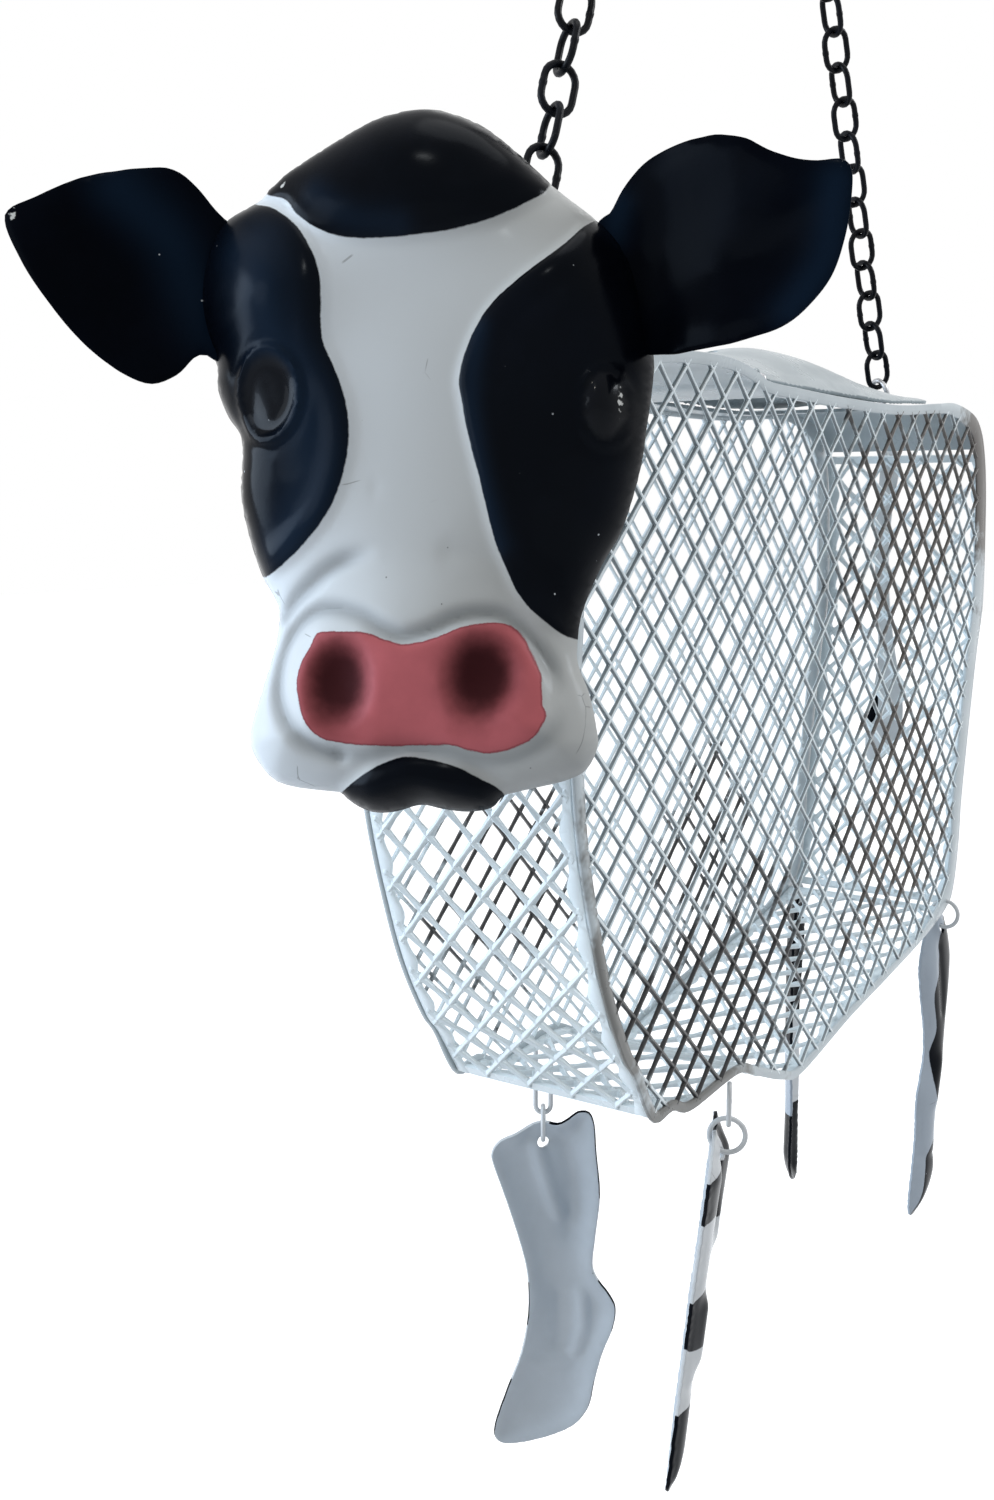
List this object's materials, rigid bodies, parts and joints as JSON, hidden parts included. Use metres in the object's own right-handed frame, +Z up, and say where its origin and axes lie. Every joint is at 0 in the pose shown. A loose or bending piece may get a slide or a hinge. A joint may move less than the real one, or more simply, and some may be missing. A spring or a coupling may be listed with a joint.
{
  "type": "mesh bird feeder",
  "caption": "Hanging bird feeder shaped as a cow: an expanded-metal seed box with a lid, a painted sheet head, loose legs and a tail, on two link chains with a ring and a hook",
  "frame": {"origin": "the point where the hook's upper bow bears on the branch or rail that carries it", "axes": "+Z up, -Y towards the cow's nose, +X towards the cow's left side"},
  "size_m": [0.1521, 0.3303, 0.6231],
  "materials": {
    "white_paint": "satin gloss",
    "black_paint": "gloss",
    "bare_steel": "plain"
  },
  "bodies": {
    "hook": {"hanging_hook": "bare_steel"},
    "ring": {"hanging_ring": "bare_steel"},
    "feeder": {"side_panel_left": "white_paint", "side_panel_right": "white_paint", "back_sheet": "white_paint", "rear_net": "white_paint", "belly_net": "white_paint", "chest_net": "white_paint", "front_chain": "black_paint", "rear_chain": "black_paint", "front_chain_eye": "bare_steel", "rear_chain_eye": "bare_steel", "head_shell": "white_paint", "head_crossbar": "bare_steel", "neck_tube": "bare_steel", "lid_hinge_wire": "bare_steel", "front_left_leg_eye": "white_paint", "front_right_leg_eye": "white_paint", "tail_eye": "white_paint"},
    "lid": {"lid": "white_paint"},
    "front_left_leg_ring": {"front_left_leg_ring": "white_paint"},
    "front_left_leg": {"front_left_leg": "white_paint"},
    "front_right_leg_ring": {"front_right_leg_ring": "white_paint"},
    "front_right_leg": {"front_right_leg": "white_paint"},
    "rear_left_leg_ring": {"rear_left_leg_ring": "white_paint"},
    "rear_left_leg": {"rear_left_leg": "white_paint"},
    "rear_right_leg_ring": {"rear_right_leg_ring": "white_paint"},
    "rear_right_leg": {"rear_right_leg": "white_paint"},
    "tail_ring": {"tail_ring": "white_paint"},
    "tail": {"tail": "white_paint"}
  },
  "joints": [
    {"name": "ring_tilt", "type": "hinge", "parent": "hook", "child": "ring", "pos_m": [0, 0, -0.0585], "axis": [0, 1, 0], "range_deg": [-40, 40]},
    {"name": "feeder_swing", "type": "hinge", "parent": "ring", "child": "feeder", "pos_m": [0, 0, -0.0695], "axis": [1, 0, 0], "range_deg": [-25, 25]},
    {"name": "lid_hinge", "type": "hinge", "parent": "feeder", "child": "lid", "pos_m": [0, -0.01865, -0.33144], "axis": [1, 0, 0], "range_deg": [0, 95]},
    {"name": "front_left_leg_ring_swing", "type": "hinge", "parent": "feeder", "child": "front_left_leg_ring", "pos_m": [0.0275, -0.03511, -0.51541], "axis": [-0.4226, 0.9063, 0], "range_deg": [-10, 10]},
    {"name": "front_left_leg_swing", "type": "hinge", "parent": "front_left_leg_ring", "child": "front_left_leg", "pos_m": [0.0268, -0.03544, -0.52277], "axis": [0.9063, 0.4226, 0], "range_deg": [-28, 28]},
    {"name": "front_right_leg_ring_swing", "type": "hinge", "parent": "feeder", "child": "front_right_leg_ring", "pos_m": [-0.0275, -0.03511, -0.52481], "axis": [0.8387, 0.5446, 0], "range_deg": [-10, 10]},
    {"name": "front_right_leg_swing", "type": "hinge", "parent": "front_right_leg_ring", "child": "front_right_leg", "pos_m": [-0.0275, -0.03511, -0.53221], "axis": [-0.5446, 0.8387, 0], "range_deg": [-28, 28]},
    {"name": "rear_left_leg_ring_swing", "type": "hinge", "parent": "feeder", "child": "rear_left_leg_ring", "pos_m": [0.0275, 0.12714, -0.49414], "axis": [0, 1, 0], "range_deg": [-8, 8]},
    {"name": "rear_left_leg_swing", "type": "hinge", "parent": "rear_left_leg_ring", "child": "rear_left_leg", "pos_m": [0.0275, 0.12714, -0.50154], "axis": [1, 0, 0], "range_deg": [-15, 15]},
    {"name": "rear_right_leg_ring_swing", "type": "hinge", "parent": "feeder", "child": "rear_right_leg_ring", "pos_m": [-0.0275, 0.12714, -0.49414], "axis": [0, 1, 0], "range_deg": [-8, 8]},
    {"name": "rear_right_leg_swing", "type": "hinge", "parent": "rear_right_leg_ring", "child": "rear_right_leg", "pos_m": [-0.0275, 0.12714, -0.50154], "axis": [1, 0, 0], "range_deg": [-15, 15]},
    {"name": "tail_ring_swing", "type": "hinge", "parent": "feeder", "child": "tail_ring", "pos_m": [-0.008, 0.15562, -0.33907], "axis": [1, 0, 0], "range_deg": [-2, 35]},
    {"name": "tail_swing", "type": "hinge", "parent": "tail_ring", "child": "tail", "pos_m": [-0.008, 0.15562, -0.34647], "axis": [0, 1, 0], "range_deg": [-30, 30]}
  ]
}
